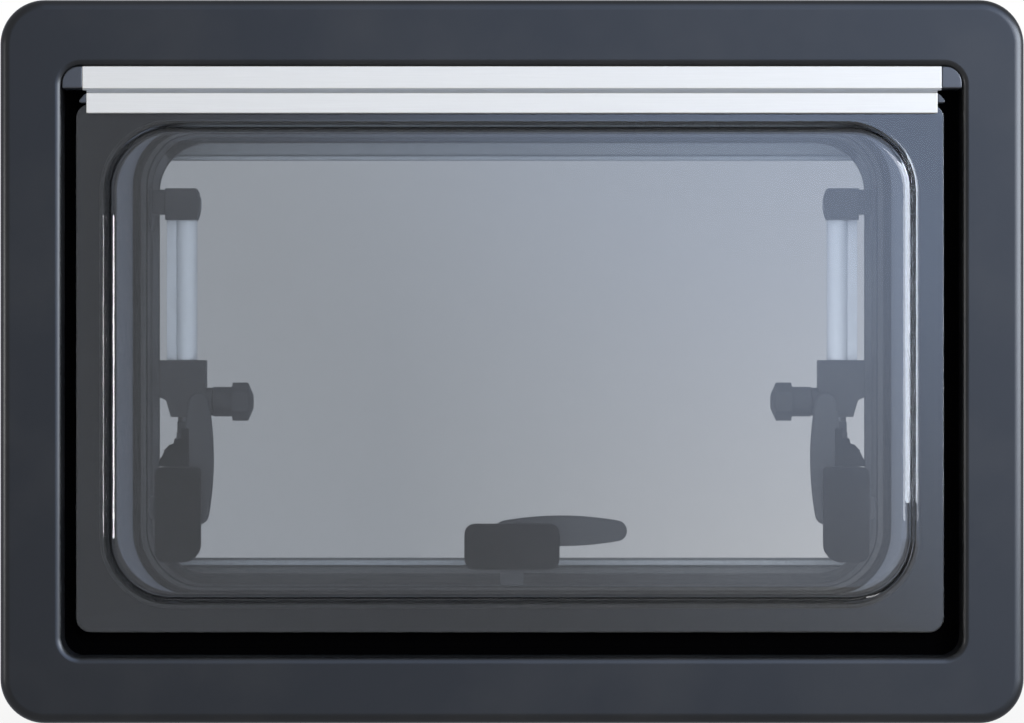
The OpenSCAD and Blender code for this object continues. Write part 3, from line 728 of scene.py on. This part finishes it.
# Stays: each piece with its node, body, finish, slot, edge width and edge steps. The foot gets
# a small mounting plate, given for the right side.
stays = {"plateLow": (217, -7, -70), "plateHigh": (222.6, -4.2, -45),
         "pieces": [("stayBracket_", "stay_bracket_", "frame", darkPlastic, "dark_plastic", 0.8, 3),
                    ("stayFoot_", "stay_foot_", "sash", darkPlastic, "dark_plastic", 0.6, 2),
                    ("stayHead_", "stay_head_", "stay_", darkPlastic, "dark_plastic", 1.2, 3),
                    ("stayTube_", "stay_tube_", "stay_", tube, "tube_aluminium", 0.5, 2),
                    ("stayClamp_", "stay_clamp_", "stay_", darkPlastic, "dark_plastic", 1.2, 3),
                    ("stayKnob_", "stay_knob_", "knob_", knobPlastic, "knob_plastic", 0.9, 3),
                    ("stayRod_", "stay_rod_", "rod_", rod, "rod_steel", 0.4, 2),
                    ("rodEnd_", "rod_end_", "rod_", darkPlastic, "dark_plastic", 0.7, 2),
                    ("bracketPin_", "bracket_pin_", "frame", pin, "pin_steel", 0.3, 2)]}


def makeStay(name, side, size):
    (lowX, lowY, lowZ), (highX, highY, highZ) = size["plateLow"], size["plateHigh"]
    left, right = sorted((side * lowX, side * highX))
    plate = ((left, lowY, lowZ), (right, highY, highZ))
    for piece, node, body, material, slot, edge, steps in size["pieces"]:
        fromNode(piece + name, node + name, body + name if body.endswith("_") else body,
                 material, edge, steps, plate if piece == "stayFoot_" else None)


for name, side in sides.items():
    makeStay(name, side, stays)
print("stays made")


# A wide pale floor, in metres, that shines almost white to the camera and fully white far out
floorLook = {"radius": 6, "sides": 96, "height": -0.0225, "colour": (0.8, 0.8, 0.8), "rough": 0.9,
             "shine": 0.1, "glow": (0.9, 1), "glowDistance": (0.4, 1.1)}


def makeFloor(look):
    bm = bmesh.new()
    bmesh.ops.create_circle(bm, cap_ends=True, segments=look["sides"], radius=look["radius"])
    bmesh.ops.translate(bm, vec=(0, 0, look["height"]), verts=bm.verts)
    mesh = bpy.data.meshes.new("paleFloor")
    bm.to_mesh(mesh)
    bm.free()
    floor = bpy.data.objects.new("paleFloor", mesh)
    bpy.context.scene.collection.objects.link(floor)
    material, nodes, links, shader = startMaterial("paleFloorPaint")
    shader.inputs["Base Color"].default_value = (*look["colour"], 1)
    shader.inputs["Roughness"].default_value = look["rough"]
    shader.inputs["Specular IOR Level"].default_value = look["shine"]
    length = nodes.new("ShaderNodeVectorMath")
    length.operation = "LENGTH"
    links.new(nodes.new("ShaderNodeTexCoord").outputs["Object"], length.inputs[0])
    far = mapRange(nodes, links, length.outputs["Value"], *look["glow"], *look["glowDistance"])
    path = nodes.new("ShaderNodeLightPath").outputs
    seen = mathNode(nodes, links, "ADD", path["Is Camera Ray"], path["Is Glossy Ray"])
    seen = mathNode(nodes, links, "ADD", seen, path["Is Transmission Ray"], clamp=True)
    white = nodes.new("ShaderNodeEmission")
    mix = nodes.new("ShaderNodeMixShader")
    links.new(mathNode(nodes, links, "MULTIPLY", far, seen), mix.inputs[0])
    links.new(shader.outputs[0], mix.inputs[1])
    links.new(white.outputs[0], mix.inputs[2])
    links.new(mix.outputs[0], nodes["Material Output"].inputs["Surface"])
    mesh.materials.append(material)
    floor.visible_glossy = False


# World: ranges are of the direction's X, Y or Z
studio = {"fill": 0.32, "frontGloss": 0.6, "backGloss": 0.5, "glossRange": (-0.5, 0.3),
          "mirrorTint": (0.95, 1.0, 1.12), "panelColour": (0.74, 0.98, 1.5), "panelLight": 2.8,
          "panelFront": (-0.7, 0.0), "panelAcross": (-0.07, 0.15), "panelUp": (-0.12, 0.06),
          "panelLow": 0.15, "panelTop": 0.1, "panelSlant": 0.6}


def makeWorld(look):
    world = bpy.data.worlds.new("studio")
    bpy.context.scene.world = world
    world.use_nodes = True
    nodes, links = world.node_tree.nodes, world.node_tree.links
    path = nodes.new("ShaderNodeLightPath").outputs
    parts = nodes.new("ShaderNodeSeparateXYZ")
    links.new(nodes.new("ShaderNodeTexCoord").outputs["Generated"], parts.inputs[0])
    x, y, z = (parts.outputs[axis] for axis in "XYZ")
    through = path["Is Transmission Ray"]
    mirror = mathNode(nodes, links, "SUBTRACT", path["Is Glossy Ray"], through, clamp=True)
    # White to the camera and through glass, dimmer in gloss, most of all behind the object
    gloss = mapRange(nodes, links, y, look["frontGloss"], look["backGloss"], *look["glossRange"],
                     smooth=True)
    seen = mathNode(nodes, links, "ADD", path["Is Camera Ray"], through, clamp=True)
    seen = mathNode(nodes, links, "ADD", seen, mathNode(nodes, links, "MULTIPLY", mirror, gloss))
    fill = mathNode(nodes, links, "MULTIPLY", path["Is Diffuse Ray"], look["fill"])
    plain = nodes["Background"]
    links.new(mathNode(nodes, links, "ADD", seen, fill), plain.inputs["Strength"])
    links.new(mixColours(nodes, links, mirror, (1, 1, 1), look["mirrorTint"]),
              plain.inputs["Color"])
    # A broad cool panel in front, to the right, with soft edges, seen in gloss only
    height = mathNode(nodes, links, "MINIMUM", z, look["panelTop"])
    slant = mathNode(nodes, links, "MULTIPLY", height, look["panelSlant"])
    across = mapRange(nodes, links, mathNode(nodes, links, "ADD", x, slant), 0, 1,
                      *look["panelAcross"], smooth=True)
    upward = mapRange(nodes, links, z, look["panelLow"], 1, *look["panelUp"], smooth=True)
    front = mapRange(nodes, links, y, look["panelLight"], 0, *look["panelFront"], smooth=True)
    share = mathNode(nodes, links, "MULTIPLY", across, upward)
    share = mathNode(nodes, links, "MULTIPLY", share, front)
    panel = nodes.new("ShaderNodeBackground")
    panel.inputs["Color"].default_value = (*look["panelColour"], 1)
    links.new(mathNode(nodes, links, "MULTIPLY", share, mirror), panel.inputs["Strength"])
    both = nodes.new("ShaderNodeAddShader")
    links.new(plain.outputs[0], both.inputs[0])
    links.new(panel.outputs[0], both.inputs[1])
    links.new(both.outputs[0], nodes["World Output"].inputs["Surface"])


# Lamps in metres and watts; size is width and height
lamps = {"sideLight": {"spot": (1.5, -1.7, 0.7), "aim": (0, 0, 0.22), "size": (0.8, 1.4),
                       "power": 20, "colour": (0.96, 0.99, 1.04)},
         "frontLight": {"spot": (0.7, -3.4, 1.3), "aim": (0, 0, 0.22), "size": (2.0, 1.6),
                        "power": 20, "inGloss": False},
         "leftLight": {"spot": (-2.2, -0.6, 0.2), "aim": (0, 0, 0.22), "size": (0.35, 0.4),
                       "power": 9},
         "rightStrip": {"spot": (1.69, -0.62, 0.58), "aim": (0, 0, 0.3), "size": (1.2, 1.05),
                        "power": 50, "colour": (0.92, 1.0, 1.12), "inDiffuse": False},
         "behindGlass": {"spot": (0, -0.004, 0.2185), "aim": (0, 1, 0.2185),
                         "size": (0.56, 0.345), "power": 1.6, "inGloss": False}}


def makeLamp(name, spot, aim, size, power, colour=(1, 1, 1), inGloss=True, inDiffuse=True):
    light = bpy.data.lights.new(name, "AREA")
    light.shape = "RECTANGLE"
    light.size, light.size_y = size
    light.energy = power
    light.color = colour
    lamp = bpy.data.objects.new(name, light)
    bpy.context.scene.collection.objects.link(lamp)
    lamp.location = spot
    lamp.rotation_euler = (Vector(aim) - Vector(spot)).to_track_quat("-Z", "Y").to_euler()
    lamp.visible_glossy = inGloss
    lamp.visible_diffuse = inDiffuse
    lamp.visible_transmission = False
    lamp.visible_camera = False


# The camera looks straight at the window's centre from this distance before the frame's front
cameraView = {"distance": 2.4, "lens": 126.4, "sensor": 36, "near": 0.05, "far": 50}


def makeCamera(view):
    camera = bpy.data.objects.new("camera", bpy.data.cameras.new("camera"))
    bpy.context.scene.collection.objects.link(camera)
    camera.data.sensor_width = view["sensor"]
    camera.data.lens = view["lens"]
    camera.data.clip_start = view["near"]
    camera.data.clip_end = view["far"]
    camera.location = (0, outerFrame["front"] * millimetre - view["distance"],
                       midHeight * millimetre)
    camera.rotation_euler = (radians(90), 0, 0)
    bpy.context.scene.camera = camera


makeFloor(floorLook)
makeWorld(studio)
for name, lamp in lamps.items():
    makeLamp(name, **lamp)
makeCamera(cameraView)
bpy.context.scene.view_settings.view_transform = "Standard"
print("studio made")
